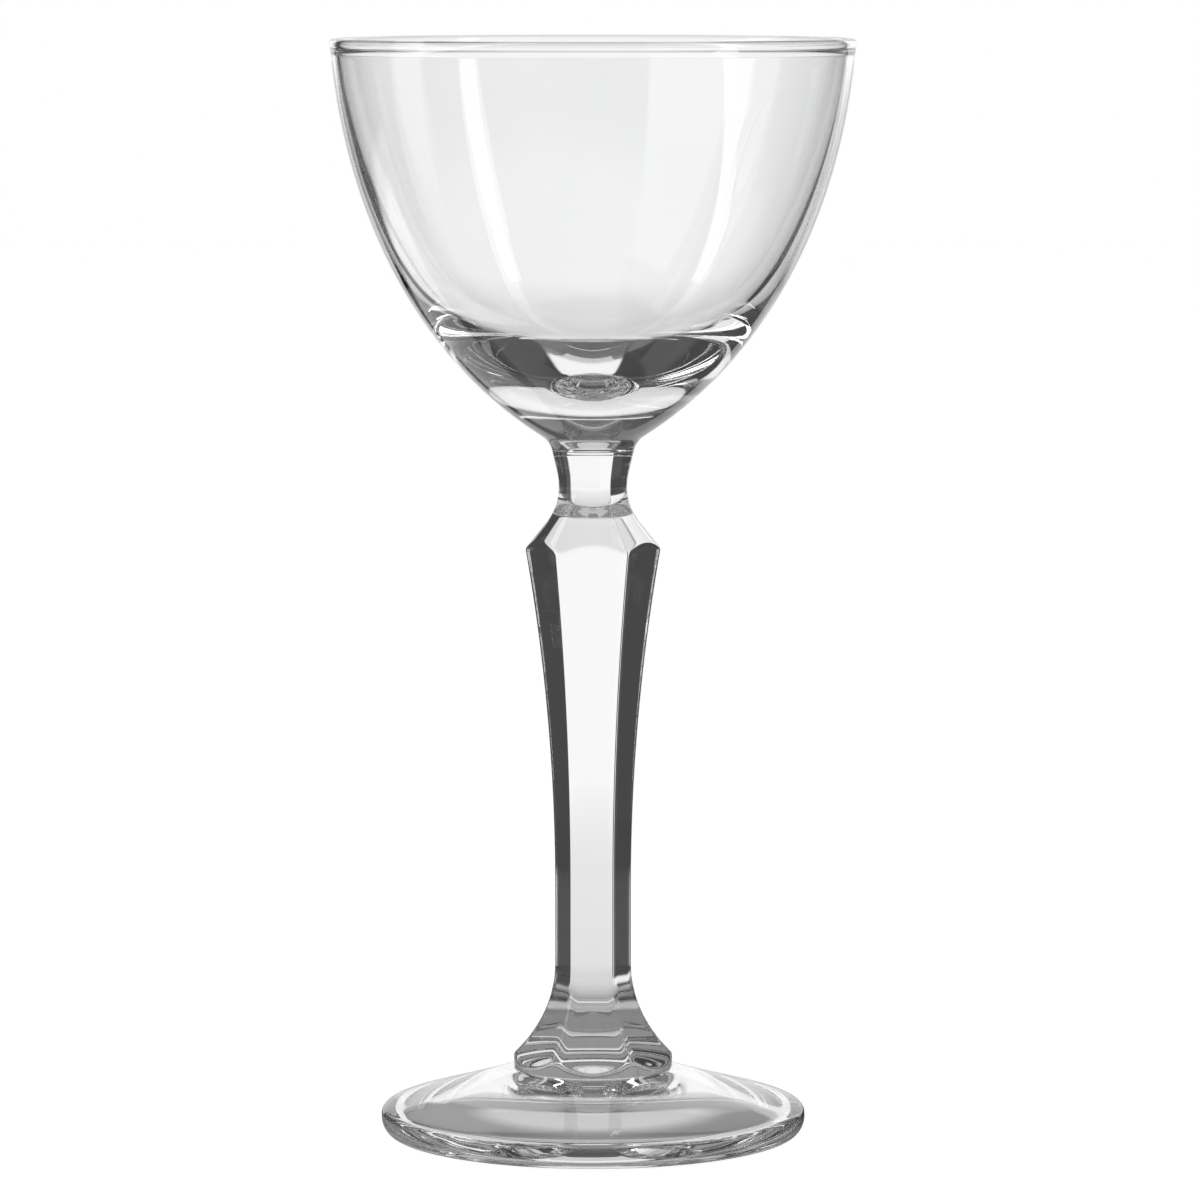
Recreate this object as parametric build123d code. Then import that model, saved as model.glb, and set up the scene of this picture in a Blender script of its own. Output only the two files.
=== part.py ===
from build123d import *
from math import asin, cos, degrees, radians, sin, sqrt, tan
import os

# A stemmed cocktail glass of three glass pieces, fused end to end on one upright axis:
# a pressed foot, a pressed stem with six flat sides, and a blown bowl with a heavy base.
# Millimetres and degrees. The origin is where the axis meets the table, with +Z up.

# Foot
foot_diameter = 65.2
foot_height = 10.2              # table to the seat that the stem is fused to
foot_seat_ledge = 0.3           # width of seat left showing round the stem
foot_slope = 18.0               # fall of the top face where it leaves the seat
foot_slope_reach = 19.8         # how far out the top face keeps to that fall
foot_edge_height = 2.7          # table to the widest line of the rounded edge
foot_edge_fullness = 2.6        # how far the rounding climbs above that line
foot_rest_inset = 2.1           # widest line in to the flat ring that stands on the table
foot_rest_width = 1.5
foot_hollow = 6.8               # rise of the hollow inside that ring

# Stem
stem_length = 95.2              # seat on the foot to the weld under the bowl
stem_base_diameter = 24.4
stem_base_band = 0.8            # plain round band under the lowest point of each flat
flare_radius = 20.4             # sweep of the flats out to the base
shaft_across_flats = 10.65      # where the shaft is slimmest
shaft_straight = 11.8           # length of shaft between the flare and the long sweep
shoulder_across_flats = 18.4    # where the flats end under the shoulder
ridge_radius = 2.0              # rounding of the six long ridges
side_count = 6
shoulder_angle = 38.8           # side of the shoulder's cone, from upright
neck_lower_radius = 8.9         # hollow curve from the waist down to the shoulder
waist_diameter = 10.5
neck_upper_radius = 9.8         # hollow curve from the waist up to the flank
flank_angle = 13.5              # side of the neck where it meets the bowl, from upright
waist_drop = 5.55               # weld under the bowl down to the waist

# Bowl
bowl_height = 62.6              # weld to the top of the rim
bowl_root_radius = 3.5          # hollow curve between the neck and the bowl
bowl_base_angle = 57.6          # side of the bowl where it leaves the root, from upright
bowl_base_reach = 22.75         # how far up the side keeps to that angle
rim_diameter = 80.2             # over the bead
rim_bead_diameter = 1.7
rim_bead_lip = 0.2              # how far the bead stands out past the wall
rim_lean = 4.5                  # outward lean of the wall under the rim, outside
rim_reach = 25.3                # how far down the wall keeps to that lean, outside
rim_wall = 1.25
rim_inner_lean = 4.3            # outward lean of the wall under the rim, inside
rim_inner_reach = 17.8          # how far down the wall keeps to that lean, inside
bend_radius = 20.4              # where the inside wall turns into the floor, from the axis
bend_height = 18.8              # weld to that bend
bend_slope = 37.2               # climb of the inside at the bend, from level
bend_wall_reach = 10.1          # how far up the wall keeps to that slope
bend_floor_reach = 6.4          # how far down the floor keeps to that slope
bowl_floor = 11.0               # glass between the weld and the middle of the inside
bowl_floor_reach = 6.3          # how far out the floor keeps level

# Places that neighbouring pieces share
foot_weld = foot_height
bowl_weld = foot_weld + stem_length
rim_top = bowl_weld + bowl_height
waist_height = bowl_weld - waist_drop
base_radius = stem_base_diameter / 2
waist_radius = waist_diameter / 2
flank_run = waist_drop - neck_upper_radius * sin(radians(flank_angle))
flank_start_radius = waist_radius + neck_upper_radius * (1 - cos(radians(flank_angle)))
weld_radius = flank_start_radius + flank_run * tan(radians(flank_angle))


def leaning(angle):
    """Direction that climbs outward, at an angle from upright."""
    return Vector(sin(radians(angle)), cos(radians(angle)))


def turned(outline):
    """Solid turned round the axis from a closed outline of radius and height."""
    return revolve(Plane.XZ * make_face(outline), Axis.Z)


def make_foot():
    foot_radius = foot_diameter / 2
    rest_radius = foot_radius - foot_rest_inset
    hollow_radius = rest_radius - foot_rest_width
    seat_edge = Vector(base_radius + foot_seat_ledge, foot_weld)
    widest = Vector(foot_radius, foot_edge_height)
    fall = leaning(90 + foot_slope)

    seat = Line((0, foot_weld), seat_edge)
    top = Bezier(seat_edge, seat_edge + fall * foot_slope_reach, widest + (0, foot_edge_fullness), widest)
    under_middle = (rest_radius, foot_edge_height)
    under_edge = EllipticalCenterArc(under_middle, foot_rest_inset, foot_edge_height, 270)
    rest = Line((rest_radius, 0), (hollow_radius, 0))
    hollow = Bezier((hollow_radius, 0), (hollow_radius / 2, foot_hollow), (0, foot_hollow))
    axis = Line((0, foot_hollow), (0, foot_weld))
    return turned(seat + top + under_edge + rest + hollow + axis)


def make_stem_blank():
    """The stem as a round piece: plain drum, conical shoulder and waisted neck."""
    waist = Vector(waist_radius, waist_height)
    below = JernArc(waist, (0, -1), neck_lower_radius, shoulder_angle)
    shoulder_run = (base_radius - (below @ 1).X) / tan(radians(shoulder_angle))
    drum_top = (base_radius, (below @ 1).Y - shoulder_run)
    above = JernArc(waist, (0, 1), neck_upper_radius, -flank_angle)

    shoulder = Line(below @ 1, drum_top)
    drum = Polyline(drum_top, (base_radius, foot_weld), (0, foot_weld), (0, bowl_weld), (weld_radius, bowl_weld))
    flank = Line((weld_radius, bowl_weld), above @ 1)
    return turned(shoulder + drum + flank + above + below), below @ 1


def make_flats(shoulder_start):
    """Six-sided horn: each flat flares to the base, runs straight, then sweeps out to the shoulder."""
    flat_radius = shaft_across_flats / 2
    shoulder_flat_radius = shoulder_across_flats / 2
    shoulder_ridge_radius = shoulder_flat_radius / cos(radians(180 / side_count))
    shoulder_fall = (shoulder_ridge_radius - shoulder_start.X) / tan(radians(shoulder_angle))
    shoulder_height = shoulder_start.Y - shoulder_fall

    flare_rise = base_radius - flat_radius
    flare_height = sqrt(2 * flare_radius * flare_rise - flare_rise**2)
    flare_start = foot_weld + stem_base_band + flare_height
    flare_angle = degrees(asin((flare_start - foot_weld) / flare_radius))

    sweep_start = flare_start + shaft_straight
    sweep_rise = shoulder_flat_radius - flat_radius
    sweep_height = shoulder_height - sweep_start
    sweep_radius = (sweep_rise**2 + sweep_height**2) / (2 * sweep_rise)
    sweep_angle = degrees(asin((bowl_weld - sweep_start) / sweep_radius))

    flare = JernArc((flat_radius, flare_start), (0, -1), flare_radius, flare_angle)
    straight = Line((flat_radius, flare_start), (flat_radius, sweep_start))
    sweep = JernArc((flat_radius, sweep_start), (0, 1), sweep_radius, -sweep_angle)
    side = flare + straight + sweep
    bottom = Line(flare @ 1, (-(flare @ 1).X, foot_weld))
    top = Line(sweep @ 1, (-(sweep @ 1).X, bowl_weld))
    slab_face = Plane.YZ * make_face(side + mirror(side, Plane.YZ) + bottom + top)
    slab = extrude(slab_face, stem_base_diameter, both=True)

    horn = slab
    for turn in range(1, side_count // 2):
        horn = horn & (Rot(0, 0, turn * 360 / side_count) * slab)
    ridges = horn.edges().filter_by(lambda edge: abs((edge % 0.5).Z) > 0.3)
    return fillet(ridges, ridge_radius)


def make_stem():
    blank, shoulder_start = make_stem_blank()
    return blank & make_flats(shoulder_start)


def make_bowl():
    bead_radius = rim_bead_diameter / 2
    bead_height = rim_top - bead_radius
    outer_rim = Vector(rim_diameter / 2 - rim_bead_lip, bead_height)
    inner_rim = outer_rim - (rim_wall, 0)
    floor = Vector(0, bowl_weld + bowl_floor)
    bead_middle = Vector(rim_diameter / 2 - bead_radius, bead_height)

    root = JernArc((weld_radius, bowl_weld), leaning(flank_angle), bowl_root_radius, flank_angle - bowl_base_angle)
    outer_low = root @ 1 + leaning(bowl_base_angle) * bowl_base_reach
    outer_high = outer_rim - leaning(rim_lean) * rim_reach
    outside = Bezier(root @ 1, outer_low, outer_high, outer_rim)
    lip = Line(outer_rim, inner_rim)
    inner_high = inner_rim - leaning(rim_inner_lean) * rim_inner_reach
    bend = Vector(bend_radius, bowl_weld + bend_height)
    climb = leaning(90 - bend_slope)
    inner_wall = Bezier(inner_rim, inner_high, bend + climb * bend_wall_reach, bend)
    inner_floor = Bezier(bend, bend - climb * bend_floor_reach, floor + (bowl_floor_reach, 0), floor)
    middle = Polyline(floor, (0, bowl_weld), (weld_radius, bowl_weld))

    wall = make_face(root + outside + lip + inner_wall + inner_floor + middle)
    bead = Pos(bead_middle.X, bead_middle.Y) * Circle(bead_radius)
    return revolve(Plane.XZ * (wall + bead), Axis.Z)


os.makedirs("parts", exist_ok=True)
pieces = {"foot": make_foot(), "stem": make_stem(), "bowl": make_bowl()}
for name, piece in pieces.items():
    piece.label = name
    export_step(piece, f"parts/{name}.step")
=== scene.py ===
import math

import bpy
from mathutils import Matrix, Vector


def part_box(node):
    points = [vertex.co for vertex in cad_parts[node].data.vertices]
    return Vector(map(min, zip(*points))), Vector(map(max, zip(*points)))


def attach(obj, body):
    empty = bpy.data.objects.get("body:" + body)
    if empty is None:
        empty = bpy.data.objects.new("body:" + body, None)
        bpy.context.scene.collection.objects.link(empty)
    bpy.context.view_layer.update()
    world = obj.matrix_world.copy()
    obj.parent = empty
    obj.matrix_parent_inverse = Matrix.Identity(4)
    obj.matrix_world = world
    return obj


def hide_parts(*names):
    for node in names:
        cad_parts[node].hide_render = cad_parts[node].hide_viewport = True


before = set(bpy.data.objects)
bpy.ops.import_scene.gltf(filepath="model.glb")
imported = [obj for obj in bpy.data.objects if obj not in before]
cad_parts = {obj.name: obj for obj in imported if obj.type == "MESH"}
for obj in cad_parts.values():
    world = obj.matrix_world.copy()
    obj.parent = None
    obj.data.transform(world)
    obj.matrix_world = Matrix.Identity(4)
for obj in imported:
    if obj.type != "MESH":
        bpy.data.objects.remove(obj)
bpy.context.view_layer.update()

# Sizes are in metres. The heights and widths that the frame knows are read from it.
MM = 0.001
foot_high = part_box("foot")[1]
stem_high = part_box("stem")[1]
bowl_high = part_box("bowl")[1]
FOOT_RADIUS = foot_high.x
FOOT_WELD = foot_high.z
BASE_RADIUS = stem_high.x
BOWL_WELD = stem_high.z
RIM_RADIUS = bowl_high.x
RIM_TOP = bowl_high.z

# Foot
SEAT_LEDGE = 0.3 * MM
FOOT_SLOPE = 18.0
FOOT_SLOPE_REACH = 19.8 * MM
FOOT_EDGE_HEIGHT = 2.7 * MM
FOOT_EDGE_FULLNESS = 2.6 * MM
REST_RADIUS = 30.5 * MM         # outside of the flat ring that stands on the table
REST_WIDTH = 1.5 * MM
FOOT_HOLLOW = 6.8 * MM          # rise of the hollow under the foot

# Stem
BASE_BAND = 0.8 * MM
FLARE_RADIUS = 20.4 * MM
SHAFT_FLAT = 10.65 / 2 * MM
SHAFT_STRAIGHT = 11.8 * MM
SHOULDER_FLAT = 18.4 / 2 * MM
RIDGE_RADIUS = 2.0 * MM
SIDES = 6
SHOULDER_ANGLE = 38.8
NECK_LOWER_RADIUS = 8.9 * MM
WAIST_RADIUS = 10.5 / 2 * MM
NECK_UPPER_RADIUS = 9.8 * MM
FLANK_ANGLE = 13.5
WAIST_DROP = 5.55 * MM
EDGE_BLEND = 0.45 * MM          # softening where the flats meet the turned surfaces

# Bowl
ROOT_RADIUS = 3.5 * MM
BASE_ANGLE = 57.6
BASE_REACH = 22.75 * MM
BEAD_RADIUS = 1.7 / 2 * MM
BEAD_LIP = 0.2 * MM
RIM_LEAN = 4.5
RIM_REACH = 25.3 * MM
RIM_WALL = 1.25 * MM
RIM_INNER_LEAN = 4.3
RIM_INNER_REACH = 17.8 * MM
BEND_RADIUS = 20.4 * MM         # place where the inside wall turns into the floor
BEND_HEIGHT = 18.8 * MM
BEND_SLOPE = 37.2
BEND_WALL_REACH = 10.1 * MM
BEND_FLOOR_REACH = 6.4 * MM
BOWL_FLOOR = 11.0 * MM
FLOOR_REACH = 6.3 * MM

# Fineness of the meshes: steps along each stretch of a profile, and round the axis
RIDGE_SPREAD = 9.0              # degrees each side of a ridge that have closer points
RIDGE_STEPS = 8
FLAT_STEPS = 12
FOOT_TOP_STEPS = 60
FOOT_EDGE_STEPS = 24
REST_STEPS = 6
HOLLOW_STEPS = 48
ROOT_STEPS = 16
OUTSIDE_STEPS = 90
WALL_STEPS = 70
FLOOR_STEPS = 50
BEAD_STEPS = 30
BEAD_START = -40                # degrees round the bead, from outward, where the wall's outside meets it
BEAD_END = 220                  # and where the wall's inside does
BEAD_MARGIN = 0.4 * MM          # wall left out next to the bead, so that no face is a sliver


def leaning(angle):
    """Direction that climbs outward, as radius and height, at an angle from upright."""
    return Vector((math.sin(math.radians(angle)), math.cos(math.radians(angle))))


def curve(points, steps):
    """Points along a Bezier curve of any degree."""
    found = []
    for step in range(steps + 1):
        share = step / steps
        level = [Vector(point) for point in points]
        while len(level) > 1:
            level = [a.lerp(b, share) for a, b in zip(level, level[1:])]
        found.append(level[0])
    return found


def arc(middle, radius, start, end, steps):
    """Points along a circular arc, with angles in degrees from the direction of +radius."""
    found = []
    for step in range(steps + 1):
        angle = math.radians(start + (end - start) * step / steps)
        found.append(Vector((middle[0] + radius * math.cos(angle), middle[1] + radius * math.sin(angle))))
    return found


def around():
    """Angles of one ring of points: close together at the stem's ridges and further apart on its flats."""
    ridge_half, side = math.radians(RIDGE_SPREAD), 2 * math.pi / SIDES
    angles = []
    for corner in range(SIDES):
        start = corner * side - ridge_half
        angles += [start + 2 * ridge_half * step / RIDGE_STEPS for step in range(RIDGE_STEPS)]
        start += 2 * ridge_half
        angles += [start + (side - 2 * ridge_half) * step / FLAT_STEPS for step in range(FLAT_STEPS)]
    return angles


ANGLES = around()


def skin(name, rings, weld_rows, glass, weld):
    """Closed mesh through rings of points, with weld material on some rows of faces.

    Each ring is a function of angle, or one point on the axis.
    """
    verts, faces, welds = [], [], []
    count = len(ANGLES)
    starts = []
    for ring in rings:
        starts.append(len(verts))
        if callable(ring):
            verts += [ring(angle) for angle in ANGLES]
        else:
            verts.append(ring)
    for row in range(len(rings) - 1):
        low, high = starts[row], starts[row + 1]
        for here in range(count):
            beside = (here + 1) % count
            if not callable(rings[row]):
                face = (low, high + beside, high + here)
            elif not callable(rings[row + 1]):
                face = (low + here, low + beside, high)
            else:
                face = (low + here, low + beside, high + beside, high + here)
            if row in weld_rows:
                welds.append(len(faces))
            faces.append(face)
    mesh = bpy.data.meshes.new(name)
    mesh.from_pydata([tuple(v) for v in verts], [], faces)
    mesh.materials.append(glass)
    mesh.materials.append(weld)
    mesh.polygons.foreach_set("use_smooth", [True] * len(faces))
    for index in welds:
        mesh.polygons[index].material_index = 1
        mesh.polygons[index].use_smooth = False
    mesh.update()
    piece = bpy.data.objects.new(name, mesh)
    bpy.context.scene.collection.objects.link(piece)
    return piece


def turned(radius, height):
    """Round ring at a radius and height."""
    return lambda angle: Vector((radius * math.cos(angle), radius * math.sin(angle), height))


def foot_profile():
    """Top from the seat out to the edge, round the edge, and in under the foot to the axis."""
    seat_edge = Vector((BASE_RADIUS + SEAT_LEDGE, FOOT_WELD))
    widest = Vector((FOOT_RADIUS, FOOT_EDGE_HEIGHT))
    slope_end = seat_edge + leaning(90 + FOOT_SLOPE) * FOOT_SLOPE_REACH
    top = curve([seat_edge, slope_end, widest + Vector((0, FOOT_EDGE_FULLNESS)), widest], FOOT_TOP_STEPS)
    under = []
    for step in range(1, FOOT_EDGE_STEPS + 1):
        angle = math.radians(90 * step / FOOT_EDGE_STEPS)
        reach = (FOOT_RADIUS - REST_RADIUS) * math.cos(angle)
        under.append(Vector((REST_RADIUS + reach, FOOT_EDGE_HEIGHT * (1 - math.sin(angle)))))
    hollow_radius = REST_RADIUS - REST_WIDTH
    rest = [Vector((REST_RADIUS - REST_WIDTH * step / REST_STEPS, 0)) for step in range(1, REST_STEPS + 1)]
    hollow = curve([(hollow_radius, 0), (hollow_radius / 2, FOOT_HOLLOW), (0, FOOT_HOLLOW)], HOLLOW_STEPS)
    return top + under + rest + hollow[1:-1]


def make_foot(glass, weld):
    rings = [Vector((0, 0, FOOT_WELD)), turned(BASE_RADIUS, FOOT_WELD)]
    rings += [turned(p.x, p.y) for p in foot_profile()]
    rings.append(Vector((0, 0, FOOT_HOLLOW)))
    rings.reverse()
    return skin("foot_glass", rings, {len(rings) - 2}, glass, weld)


def hexagon(flat, angle):
    """Distance from the axis to a six-sided section with rounded ridges."""
    half = math.pi / SIDES
    from_ridge = abs((angle + half) % (2 * half) - half)
    from_flat = half - from_ridge
    if flat * math.tan(from_flat) <= (flat - RIDGE_RADIUS) * math.tan(half):
        return flat / math.cos(from_flat)
    middle = (flat - RIDGE_RADIUS) / math.cos(half)
    across = middle * math.sin(from_ridge)
    return middle * math.cos(from_ridge) + math.sqrt(RIDGE_RADIUS**2 - across**2)


def softer(a, b, blend):
    """The smaller of two distances, with the corner between them rounded off."""
    share = max(blend - abs(a - b), 0) / blend
    return min(a, b) - share * share * blend / 4


WAIST_HEIGHT = BOWL_WELD - WAIST_DROP
LOWER_END = Vector((
    WAIST_RADIUS + NECK_LOWER_RADIUS * (1 - math.cos(math.radians(SHOULDER_ANGLE))),
    WAIST_HEIGHT - NECK_LOWER_RADIUS * math.sin(math.radians(SHOULDER_ANGLE)),
))
UPPER_END = Vector((
    WAIST_RADIUS + NECK_UPPER_RADIUS * (1 - math.cos(math.radians(FLANK_ANGLE))),
    WAIST_HEIGHT + NECK_UPPER_RADIUS * math.sin(math.radians(FLANK_ANGLE)),
))
WELD_RADIUS = UPPER_END.x + (BOWL_WELD - UPPER_END.y) * math.tan(math.radians(FLANK_ANGLE))
SHOULDER_RIDGE = SHOULDER_FLAT / math.cos(math.pi / SIDES)
SHOULDER_HEIGHT = LOWER_END.y - (SHOULDER_RIDGE - LOWER_END.x) / math.tan(math.radians(SHOULDER_ANGLE))
FLARE_RISE = BASE_RADIUS - SHAFT_FLAT
FLARE_START = FOOT_WELD + BASE_BAND + math.sqrt(2 * FLARE_RADIUS * FLARE_RISE - FLARE_RISE**2)
SWEEP_START = FLARE_START + SHAFT_STRAIGHT
SWEEP_RISE = SHOULDER_FLAT - SHAFT_FLAT
SWEEP_RADIUS = (SWEEP_RISE**2 + (SHOULDER_HEIGHT - SWEEP_START)**2) / (2 * SWEEP_RISE)


def blank_radius(height):
    """The stem as a turned blank: drum, conical shoulder and waisted neck."""
    if height >= UPPER_END.y:
        return UPPER_END.x + (height - UPPER_END.y) * math.tan(math.radians(FLANK_ANGLE))
    from_waist = height - WAIST_HEIGHT
    if height >= WAIST_HEIGHT:
        return WAIST_RADIUS + NECK_UPPER_RADIUS - math.sqrt(NECK_UPPER_RADIUS**2 - from_waist**2)
    if height >= LOWER_END.y:
        return WAIST_RADIUS + NECK_LOWER_RADIUS - math.sqrt(NECK_LOWER_RADIUS**2 - from_waist**2)
    cone = LOWER_END.x + (LOWER_END.y - height) * math.tan(math.radians(SHOULDER_ANGLE))
    return min(cone, BASE_RADIUS)


def flat_distance(height):
    """How far a flat lies from the axis: flare, straight shaft, then the long sweep."""
    if height < FLARE_START:
        return SHAFT_FLAT + FLARE_RADIUS - math.sqrt(FLARE_RADIUS**2 - (FLARE_START - height)**2)
    if height < SWEEP_START:
        return SHAFT_FLAT
    return SHAFT_FLAT + SWEEP_RADIUS - math.sqrt(SWEEP_RADIUS**2 - (height - SWEEP_START)**2)


def stem_ring(height):
    """Ring of the stem at a height: the blank, cut by the flats."""
    def point(angle):
        radius = softer(blank_radius(height), hexagon(flat_distance(height), angle), EDGE_BLEND)
        return Vector((radius * math.cos(angle), radius * math.sin(angle), height))
    return point


def stem_heights():
    """Heights of the stem's rings: close together where its section changes fast."""
    # Each span has the height that it ends at, and the step between its rings
    spans = [
        (FOOT_WELD + 4.0 * MM, 0.16 * MM),
        (FLARE_START + 2.0 * MM, 0.4 * MM),
        (SHOULDER_HEIGHT - 2.0 * MM, 1.2 * MM),
        (LOWER_END.y + 1.0 * MM, 0.14 * MM),
        (BOWL_WELD, 0.3 * MM),
    ]
    heights, low = [FOOT_WELD], FOOT_WELD
    for high, step in spans:
        count = max(1, round((high - low) / step))
        heights += [low + (high - low) * ring / count for ring in range(1, count + 1)]
        low = high
    return heights


def make_stem(glass, weld):
    rings = [Vector((0, 0, FOOT_WELD))]
    rings += [stem_ring(height) for height in stem_heights()]
    rings.append(Vector((0, 0, BOWL_WELD)))
    return skin("stem_glass", rings, {0, len(rings) - 2}, glass, weld)


def bowl_profile():
    """Outside from the weld up to the rim, over the bead and down the inside."""
    turn = BASE_ANGLE - FLANK_ANGLE
    middle = (
        WELD_RADIUS + ROOT_RADIUS * math.cos(math.radians(FLANK_ANGLE)),
        BOWL_WELD - ROOT_RADIUS * math.sin(math.radians(FLANK_ANGLE)),
    )
    root = arc(middle, ROOT_RADIUS, 180 - FLANK_ANGLE, 180 - FLANK_ANGLE - turn, ROOT_STEPS)
    bead_middle = Vector((RIM_RADIUS - BEAD_RADIUS, RIM_TOP - BEAD_RADIUS))
    outer_rim = Vector((RIM_RADIUS - BEAD_LIP, bead_middle.y))
    inner_rim = outer_rim - Vector((RIM_WALL, 0))
    outer_low = root[-1] + leaning(BASE_ANGLE) * BASE_REACH
    outer_high = outer_rim - leaning(RIM_LEAN) * RIM_REACH
    outside = curve([root[-1], outer_low, outer_high, outer_rim], OUTSIDE_STEPS)
    floor = Vector((0, BOWL_WELD + BOWL_FLOOR))
    inner_high = inner_rim - leaning(RIM_INNER_LEAN) * RIM_INNER_REACH
    bend = Vector((BEND_RADIUS, BOWL_WELD + BEND_HEIGHT))
    climb = leaning(90 - BEND_SLOPE)
    wall = curve([inner_rim, inner_high, bend + climb * BEND_WALL_REACH, bend], WALL_STEPS)
    floor_start = bend - climb * BEND_FLOOR_REACH
    base = curve([bend, floor_start, floor + Vector((FLOOR_REACH, 0)), floor], FLOOR_STEPS)
    inside = wall[:-1] + base
    bead = arc(bead_middle, BEAD_RADIUS, BEAD_START, BEAD_END, BEAD_STEPS)
    outer_side = [p for p in outside if p.y < bead[0].y - BEAD_MARGIN]
    inner_side = [p for p in inside if p.y < bead[-1].y - BEAD_MARGIN]
    return root[:-1] + outer_side + bead + inner_side[:-1], floor.y


def make_bowl(glass, weld):
    profile, floor = bowl_profile()
    rings = [Vector((0, 0, BOWL_WELD))]
    rings += [turned(p.x, p.y) for p in profile]
    rings.append(Vector((0, 0, floor)))
    return skin("bowl_glass", rings, {0}, glass, weld)


# Glass
GLASS_IOR = 1.52
TINT_DEEP = (0.978, 0.986, 0.982, 1)
TINT_PALE = (0.99, 0.994, 0.992, 1)
TINT_RANGE = (0.3, 0.7)         # noise values where the tint is deepest and palest
WAVE_SIZE = 14.0 * MM           # spacing of the faint unevenness of the surface
PRESSED_WAVE = 0.03 * MM        # height of that unevenness on pressed glass
BLOWN_WAVE = 0.003 * MM         # and on blown glass
SEAM_TURN = -60.0               # ridge that the mould parted on, from +X
SEAM_HALF = 0.22 * MM           # half width of the line that the mould left
SEAM_HEIGHT = 0.03 * MM
WRINKLE_SIZE = 1.1 * MM         # spacing of the wrinkles in the weld under the bowl
WRINKLE_DETAIL = 3.0
WRINKLE_TWIST = 1.5
BOWL_WELD_CLEAR = 0.66          # share of light that each face of a weld lets through
FOOT_WELD_CLEAR = 0.9
WELD_CONTRAST = 0.7             # strength of the wrinkles


def math_node(tree, operation, *values):
    """Result of a sum on numbers or on other nodes' results."""
    node = tree.nodes.new("ShaderNodeMath")
    node.operation = operation
    for slot, value in enumerate(values):
        if isinstance(value, (int, float)):
            node.inputs[slot].default_value = value
        else:
            tree.links.new(value, node.inputs[slot])
    return node.outputs[0]


def fade(tree, value, low, high):
    """0 below low and 1 above high, with a soft step between. Swapped limits fall instead."""
    node = tree.nodes.new("ShaderNodeMapRange")
    node.interpolation_type = "SMOOTHSTEP"
    node.inputs["From Min"].default_value = min(low, high)
    node.inputs["From Max"].default_value = max(low, high)
    node.inputs["To Min"].default_value = float(low > high)
    node.inputs["To Max"].default_value = float(low < high)
    tree.links.new(value, node.inputs["Value"])
    return node.outputs["Result"]


def noise(tree, place, size, detail=2.0, distortion=0.0):
    """Cloudy values about a half, with spots of a size."""
    node = tree.nodes.new("ShaderNodeTexNoise")
    node.inputs["Scale"].default_value = 1 / size
    node.inputs["Detail"].default_value = detail
    node.inputs["Distortion"].default_value = distortion
    tree.links.new(place, node.inputs["Vector"])
    return node.outputs[0]


def bump(tree, height, distance, under=None):
    """Relief on the surface, over another relief if there is one."""
    node = tree.nodes.new("ShaderNodeBump")
    node.inputs["Strength"].default_value = 1.0
    node.inputs["Distance"].default_value = distance
    tree.links.new(height, node.inputs["Height"])
    if under:
        tree.links.new(under, node.inputs["Normal"])
    return node.outputs["Normal"]


def seam(tree, place):
    """1 on the line that the mould left along two opposite ridges and 0 beside it."""
    split = tree.nodes.new("ShaderNodeSeparateXYZ")
    tree.links.new(place, split.inputs[0])
    sine, cosine = math.sin(math.radians(SEAM_TURN)), math.cos(math.radians(SEAM_TURN))
    across = math_node(
        tree, "SUBTRACT", math_node(tree, "MULTIPLY", split.outputs["Y"], cosine),
        math_node(tree, "MULTIPLY", split.outputs["X"], sine))
    return fade(tree, math_node(tree, "ABSOLUTE", across), SEAM_HALF, 0.0)


def glass_material(name, wave_height, seamed=False):
    """Clear glass, very slightly grey-green and uneven."""
    material = bpy.data.materials.new(name)
    material.use_nodes = True
    tree = material.node_tree
    shader = tree.nodes["Principled BSDF"]
    shader.inputs["Transmission Weight"].default_value = 1.0
    shader.inputs["IOR"].default_value = GLASS_IOR
    shader.inputs["Roughness"].default_value = 0.0
    place = tree.nodes.new("ShaderNodeTexCoord").outputs["Object"]
    waves = noise(tree, place, WAVE_SIZE)
    tint = tree.nodes.new("ShaderNodeValToRGB")
    for stop, position, colour in zip(tint.color_ramp.elements, TINT_RANGE, (TINT_DEEP, TINT_PALE)):
        stop.position = position
        stop.color = colour
    tree.links.new(waves, tint.inputs[0])
    tree.links.new(tint.outputs[0], shader.inputs["Base Color"])
    relief = bump(tree, waves, wave_height)
    if seamed:
        relief = bump(tree, seam(tree, place), SEAM_HEIGHT, relief)
    tree.links.new(relief, shader.inputs["Normal"])
    return material


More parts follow.
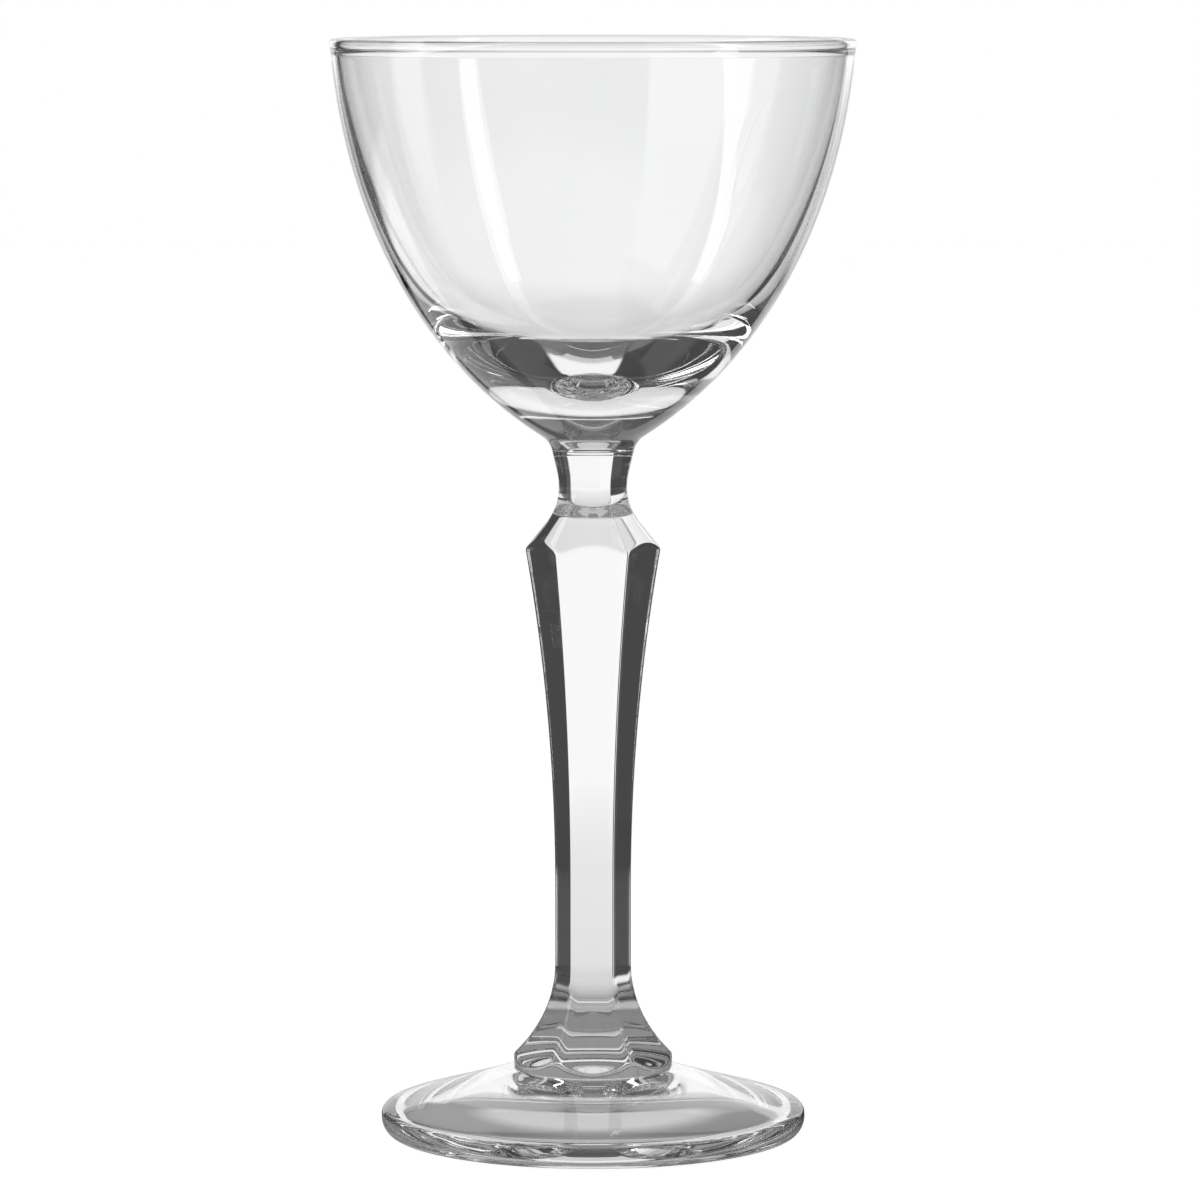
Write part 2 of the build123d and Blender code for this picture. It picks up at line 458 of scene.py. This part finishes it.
def weld_material():
    """Glass melted to glass, with wrinkles that hold back some light."""
    material = bpy.data.materials.new("fused_weld")
    material.use_nodes = True
    tree = material.node_tree
    tree.nodes.clear()
    place = tree.nodes.new("ShaderNodeTexCoord").outputs["Object"]
    split = tree.nodes.new("ShaderNodeSeparateXYZ")
    tree.links.new(place, split.inputs[0])
    middle = (FOOT_WELD + BOWL_WELD) / 2
    at_bowl = fade(tree, split.outputs["Z"], middle - MM, middle + MM)
    clear = math_node(tree, "MULTIPLY_ADD", at_bowl, BOWL_WELD_CLEAR - FOOT_WELD_CLEAR, FOOT_WELD_CLEAR)
    cloud = noise(tree, place, WRINKLE_SIZE, WRINKLE_DETAIL, WRINKLE_TWIST)
    wrinkles = math_node(tree, "MULTIPLY", math_node(tree, "SUBTRACT", cloud, 0.5), at_bowl)
    wrinkled = math_node(tree, "MULTIPLY_ADD", wrinkles, WELD_CONTRAST, 1.0)
    level = math_node(tree, "MULTIPLY", clear, wrinkled)
    level = math_node(tree, "MINIMUM", level, 1.0)
    through = tree.nodes.new("ShaderNodeBsdfTransparent")
    out = tree.nodes.new("ShaderNodeOutputMaterial")
    tree.links.new(level, through.inputs["Color"])
    tree.links.new(through.outputs[0], out.inputs["Surface"])
    return material


def make_glass():
    weld = weld_material()
    pieces = (
        ("foot", make_foot, glass_material("pressed_foot_glass", PRESSED_WAVE)),
        ("stem", make_stem, glass_material("pressed_stem_glass", PRESSED_WAVE, seamed=True)),
        ("bowl", make_bowl, glass_material("blown_bowl_glass", BLOWN_WAVE)),
    )
    for node, maker, glass in pieces:
        piece = maker(glass, weld)
        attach(piece, "root")
        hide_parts(node)


# Studio. Azimuths are in degrees clockwise from +Y, seen from above, and elevations from the horizon.
# Levels are shares of white.
EDGE_SOFT = 1.5                 # degrees over which the edge of a panel or sheet fades, each way
DARK = 0.06                     # unlit walls and table
FRONT = 0.15                    # dim wall on the camera's side
FRONT_EDGE = (120, 150)         # azimuths, either way, over which it appears
HIGH = 0.11                     # dim wall over the backdrop
HIGH_EDGE = (100, 80)           # azimuths, either way, over which it ends
HIGH_SOFT = 2.0
PANEL_BOTTOM = -12.0            # elevation where the white panels end below
BACKDROP_MIDDLE = 4.0           # azimuth of the middle of the white backdrop behind the glass
BACKDROP_HALF = 26.0            # half width of the backdrop
BACKDROP_TOP = 20.0             # elevation where the backdrop turns dimmer
UPPER = 0.72                    # dimmer upper part of the backdrop
UPPER_HALF = 24.0
UPPER_TOP = 42.0
SIDE = -90.0                    # azimuth of a white panel at -X
SIDE_HALF = 9.0
SIDE_TOP = 28.0
LEFT_CUT = -44.0                # azimuths of two parts cut out of the table, with a white floor far below
RIGHT_CUT = 135.0
CUT_HALF = 21.0
CUT_BOTTOM = -60.0              # elevations that the white floor fills
LEFT_CUT_TOP = -18.0
RIGHT_CUT_TOP = -7.0
DISC_SIDES = 128
FLOOR_DROP = 0.2 * MM
FLOOR_RADIUS = 3.0
FLOOR_COLOUR = (0.8, 0.8, 0.8, 1)
FLOOR_GLOW = 0.88
TABLE_RADIUS = 2.4
# Level of the white sheets on the table at distances from the axis: under the foot's edge, then beyond it.
# This is painted shadow of the glass, darkest near the foot and white far out
SHEET_SHADOW_START = (0.036, 0.3)
SHEET_SHADOW_LEVELS = ((0.05, 0.58), (0.062, 0.67), (0.079, 0.72), (0.25, 0.82), (0.7, 1.0))
NEAR_RING = 0.65                # pale table close round the glass, beside and before it
NEAR_RING_EDGE = (70, 85)       # azimuths, either way, over which it appears
RING_START = 0.055
RING_START_SOFT = 0.005
RING_END = 0.3
RING_END_SOFT = 0.1
# Painted light on the table under the foot, standing in for light gathered through the glass
UNDER_FRONT = 0.62              # light gathered on the table under the foot, in front and beside
UNDER_BACK = 0.14               # and behind the stem
UNDER_EDGE = (50, 90)           # azimuths, either way, between the two
UNDER_OUTER = 0.35              # share of that light under the foot's outer half
UNDER_INNER_SOFT = 0.004
UNDER_END = 0.037
UNDER_END_SOFT = 0.003
STRIP_END = 0.22                # reach of two white strips
STRIP_END_SOFT = 0.01
STRIP_SIDE_SOFT = 0.003
BACK_STRIP_HALF = 0.03          # half width of the strip that runs back from the glass
SIDE_STRIP_HALF = 0.018         # and of the one towards -X
SOFTBOX_LEVEL = 2.2
SOFTBOX_DISTANCE = 0.8
SOFTBOX_HEIGHT = 0.14           # height that the softbox corners are measured from
# Corners of the softboxes: places along them, towards +Y, and up them, in softbox distances
LEFT_CORNERS = [(-0.62, 0.05), (-0.13, 0.05), (-0.08, 0.46), (0.58, 0.99), (0.32, 1.17)]
RIGHT_CORNERS = [
    (-0.65, 0.05), (-0.62, 0.6), (-0.5, 1.0), (-0.07, 1.64),
    (0.12, 1.38), (-0.2, 0.95), (-0.33, 0.6), (-0.47, 0.05),
]


def brightest(tree, *values):
    """The greatest of several values."""
    level = values[0]
    for value in values[1:]:
        level = math_node(tree, "MAXIMUM", level, value)
    return level


def make_world():
    """Walls of the studio, all round, and plain white where the camera sees them itself."""
    world = bpy.data.worlds.new("studio")
    bpy.context.scene.world = world
    world.use_nodes = True
    tree = world.node_tree
    direction = tree.nodes.new("ShaderNodeTexCoord").outputs["Generated"]
    split = tree.nodes.new("ShaderNodeSeparateXYZ")
    tree.links.new(direction, split.inputs[0])
    azimuth = math_node(tree, "ARCTAN2", split.outputs["X"], split.outputs["Y"])
    azimuth = math_node(tree, "DEGREES", azimuth)
    elevation = math_node(tree, "DEGREES", math_node(tree, "ARCSINE", split.outputs["Z"]))

    def panel(middle, half, bottom, top):
        """1 inside a range of azimuth and elevation and 0 outside it."""
        away = math_node(tree, "ABSOLUTE", math_node(tree, "SUBTRACT", azimuth, middle))
        across = fade(tree, away, half + EDGE_SOFT, half - EDGE_SOFT)
        above = fade(tree, elevation, bottom - EDGE_SOFT, bottom + EDGE_SOFT)
        below = fade(tree, elevation, top + EDGE_SOFT, top - EDGE_SOFT)
        return math_node(tree, "MULTIPLY", across, math_node(tree, "MULTIPLY", above, below))

    white = brightest(
        tree,
        panel(BACKDROP_MIDDLE, BACKDROP_HALF, PANEL_BOTTOM, BACKDROP_TOP),
        panel(SIDE, SIDE_HALF, PANEL_BOTTOM, SIDE_TOP),
        panel(LEFT_CUT, CUT_HALF, CUT_BOTTOM, LEFT_CUT_TOP),
        panel(RIGHT_CUT, CUT_HALF, CUT_BOTTOM, RIGHT_CUT_TOP),
    )
    upper = math_node(tree, "MULTIPLY", panel(BACKDROP_MIDDLE, UPPER_HALF, 0, UPPER_TOP), UPPER)
    turned_away = math_node(tree, "ABSOLUTE", azimuth)
    front = math_node(tree, "MULTIPLY", fade(tree, turned_away, *FRONT_EDGE), FRONT)
    over = fade(tree, elevation, UPPER_TOP - HIGH_SOFT, UPPER_TOP + HIGH_SOFT)
    behind = fade(tree, turned_away, *HIGH_EDGE)
    high = math_node(tree, "MULTIPLY", math_node(tree, "MULTIPLY", over, HIGH), behind)
    level = brightest(tree, white, upper, front, high, DARK)
    seen = tree.nodes.new("ShaderNodeLightPath").outputs["Is Camera Ray"]
    tree.links.new(math_node(tree, "MAXIMUM", level, seen), tree.nodes["Background"].inputs["Strength"])
    tree.nodes["Background"].inputs["Color"].default_value = (1, 1, 1, 1)


def stage_disc(name, radius):
    """Round level sheet just under the foot, with an empty material."""
    bpy.ops.mesh.primitive_circle_add(
        vertices=DISC_SIDES, radius=radius, fill_type="NGON", location=(0, 0, -FLOOR_DROP))
    disc = bpy.context.object
    disc.name = name
    material = bpy.data.materials.new(name)
    material.use_nodes = True
    material.node_tree.nodes.clear()
    disc.data.materials.append(material)
    return disc, material.node_tree, material.node_tree.nodes.new("ShaderNodeOutputMaterial")


def make_floor():
    """White floor that the camera sees, with the glass's shadow on it."""
    floor, tree, out = stage_disc("floor", FLOOR_RADIUS)
    diffuse = tree.nodes.new("ShaderNodeBsdfDiffuse")
    diffuse.inputs["Color"].default_value = FLOOR_COLOUR
    glow = tree.nodes.new("ShaderNodeEmission")
    seen = tree.nodes.new("ShaderNodeLightPath").outputs["Is Camera Ray"]
    tree.links.new(math_node(tree, "MULTIPLY", seen, FLOOR_GLOW), glow.inputs["Strength"])
    both = tree.nodes.new("ShaderNodeAddShader")
    tree.links.new(diffuse.outputs[0], both.inputs[0])
    tree.links.new(glow.outputs[0], both.inputs[1])
    tree.links.new(both.outputs[0], out.inputs["Surface"])
    floor.visible_glossy = False
    floor.visible_transmission = False


def make_table():
    """Dark table top with white sheets on it, seen only in and through the glass, with painted shadow of the
    glass near the foot and painted light gathered under the foot.
    """
    table, tree, out = stage_disc("table", TABLE_RADIUS)
    place = tree.nodes.new("ShaderNodeTexCoord").outputs["Object"]
    split = tree.nodes.new("ShaderNodeSeparateXYZ")
    tree.links.new(place, split.inputs[0])
    x, y = split.outputs["X"], split.outputs["Y"]
    flat = tree.nodes.new("ShaderNodeVectorMath")
    flat.operation = "LENGTH"
    tree.links.new(place, flat.inputs[0])
    reach = flat.outputs["Value"]
    azimuth = math_node(tree, "DEGREES", math_node(tree, "ARCTAN2", x, y))

    def strip(toward, half):
        """1 on a strip that runs out from under the glass and 0 beside it."""
        sine, cosine = math.sin(math.radians(toward)), math.cos(math.radians(toward))
        along = math_node(
            tree, "ADD", math_node(tree, "MULTIPLY", x, sine), math_node(tree, "MULTIPLY", y, cosine))
        across = math_node(
            tree, "SUBTRACT", math_node(tree, "MULTIPLY", x, cosine), math_node(tree, "MULTIPLY", y, sine))
        away = math_node(tree, "ABSOLUTE", across)
        beside = fade(tree, away, half + STRIP_SIDE_SOFT, half - STRIP_SIDE_SOFT)
        started = fade(tree, along, -STRIP_END_SOFT, STRIP_END_SOFT)
        ended = fade(tree, along, STRIP_END + STRIP_END_SOFT, STRIP_END - STRIP_END_SOFT)
        return math_node(tree, "MULTIPLY", beside, math_node(tree, "MULTIPLY", started, ended))

    def wedge(middle, half):
        """1 on a sheet that widens away from the glass and 0 beside it."""
        away = math_node(tree, "ABSOLUTE", math_node(tree, "SUBTRACT", azimuth, middle))
        return fade(tree, away, half + EDGE_SOFT, half - EDGE_SOFT)

    def beyond(middle, softness):
        """0 nearer the axis than a circle on the table and 1 further out."""
        return fade(tree, reach, middle - softness, middle + softness)

    def within(middle, softness):
        """1 nearer the axis than a circle on the table and 0 further out."""
        return fade(tree, reach, middle + softness, middle - softness)

    sheets = brightest(
        tree, wedge(BACKDROP_MIDDLE, BACKDROP_HALF), wedge(SIDE, SIDE_HALF),
        strip(0, BACK_STRIP_HALF), strip(SIDE, SIDE_STRIP_HALF))
    # The sheets' level by distance is painted shadow of the glass: darkest near the foot and white far out
    ramp = tree.nodes.new("ShaderNodeValToRGB")
    stops = ramp.color_ramp.elements
    distance, shade = SHEET_SHADOW_START
    stops[0].position = distance / TABLE_RADIUS
    stops[0].color = (shade, shade, shade, 1)
    for distance, shade in SHEET_SHADOW_LEVELS:
        stops.new(distance / TABLE_RADIUS).color = (shade, shade, shade, 1)
    tree.links.new(math_node(tree, "DIVIDE", reach, TABLE_RADIUS), ramp.inputs[0])
    turned_away = math_node(tree, "ABSOLUTE", azimuth)
    past_foot = beyond(RING_START, RING_START_SOFT)
    ring = math_node(tree, "MULTIPLY", past_foot, NEAR_RING)
    ring = math_node(tree, "MULTIPLY", ring, within(RING_END, RING_END_SOFT))
    ring = math_node(tree, "MULTIPLY", ring, fade(tree, turned_away, *NEAR_RING_EDGE))

    # Painted light gathered under the foot: less behind the stem and less under the foot's outer half
    before = fade(tree, turned_away, *UNDER_EDGE)
    under = math_node(tree, "MULTIPLY_ADD", before, UNDER_FRONT - UNDER_BACK, UNDER_BACK)
    inner = within(UNDER_END / 2, UNDER_INNER_SOFT)
    inner = math_node(tree, "MULTIPLY_ADD", inner, 1 - UNDER_OUTER, UNDER_OUTER)
    under = math_node(tree, "MULTIPLY", under, inner)
    under = math_node(tree, "MULTIPLY", under, within(UNDER_END, UNDER_END_SOFT))

    glow = tree.nodes.new("ShaderNodeEmission")
    level = brightest(tree, math_node(tree, "MULTIPLY", sheets, ramp.outputs[0]), ring, under, DARK)
    tree.links.new(level, glow.inputs["Strength"])
    cut = tree.nodes.new("ShaderNodeMixShader")
    sectors = brightest(tree, wedge(LEFT_CUT, CUT_HALF), wedge(RIGHT_CUT, CUT_HALF))
    tree.links.new(math_node(tree, "MULTIPLY", sectors, past_foot), cut.inputs[0])
    tree.links.new(glow.outputs[0], cut.inputs[1])
    tree.links.new(tree.nodes.new("ShaderNodeBsdfTransparent").outputs[0], cut.inputs[2])
    tree.links.new(cut.outputs[0], out.inputs["Surface"])
    table.visible_camera = False
    table.visible_diffuse = False
    table.visible_shadow = False


def make_softbox(name, side, corners):
    """Upright lit panel beside the glass, on one side of it."""
    verts = []
    for along, up in corners:
        height = SOFTBOX_HEIGHT + up * SOFTBOX_DISTANCE
        verts.append((side * SOFTBOX_DISTANCE, along * SOFTBOX_DISTANCE, height))
    mesh = bpy.data.meshes.new(name)
    mesh.from_pydata(verts, [], [tuple(range(len(verts)))])
    material = bpy.data.materials.new(name)
    material.use_nodes = True
    tree = material.node_tree
    tree.nodes.clear()
    glow = tree.nodes.new("ShaderNodeEmission")
    glow.inputs["Strength"].default_value = SOFTBOX_LEVEL
    out = tree.nodes.new("ShaderNodeOutputMaterial")
    tree.links.new(glow.outputs[0], out.inputs["Surface"])
    mesh.materials.append(material)
    softbox = bpy.data.objects.new(name, mesh)
    bpy.context.scene.collection.objects.link(softbox)
    softbox.visible_camera = False


# Camera, from the photograph: focal length in pixels, place, tilt down in degrees, and where the axis falls.
FRAME_PIXELS = 1200
FOCAL_PIXELS = 6356.0
CAMERA_DISTANCE = 967.3 * MM
CAMERA_HEIGHT = 181.65 * MM
CAMERA_TILT = 5.86
AXIS_PIXEL = 593.0
SENSOR = 36.0


def make_camera():
    data = bpy.data.cameras.new("camera")
    data.sensor_width = SENSOR
    data.lens = FOCAL_PIXELS / FRAME_PIXELS * SENSOR
    camera = bpy.data.objects.new("camera", data)
    turn = math.atan((AXIS_PIXEL - FRAME_PIXELS / 2) / FOCAL_PIXELS)
    camera.location = (0, -CAMERA_DISTANCE, CAMERA_HEIGHT)
    camera.rotation_euler = (math.radians(90 - CAMERA_TILT), 0, turn)
    bpy.context.scene.collection.objects.link(camera)
    bpy.context.scene.camera = camera


make_glass()
make_world()
make_floor()
make_table()
make_softbox("left_softbox", -1, LEFT_CORNERS)
make_softbox("right_softbox", 1, RIGHT_CORNERS)
make_camera()

scene = bpy.context.scene
scene.view_settings.view_transform = "Standard"
# Light passes many faces of the heavy base and of the stem before it leaves the glass
scene.cycles.max_bounces = 32
scene.cycles.transmission_bounces = 32
scene.cycles.glossy_bounces = 24
scene.cycles.transparent_max_bounces = 16

bpy.context.view_layer.update()
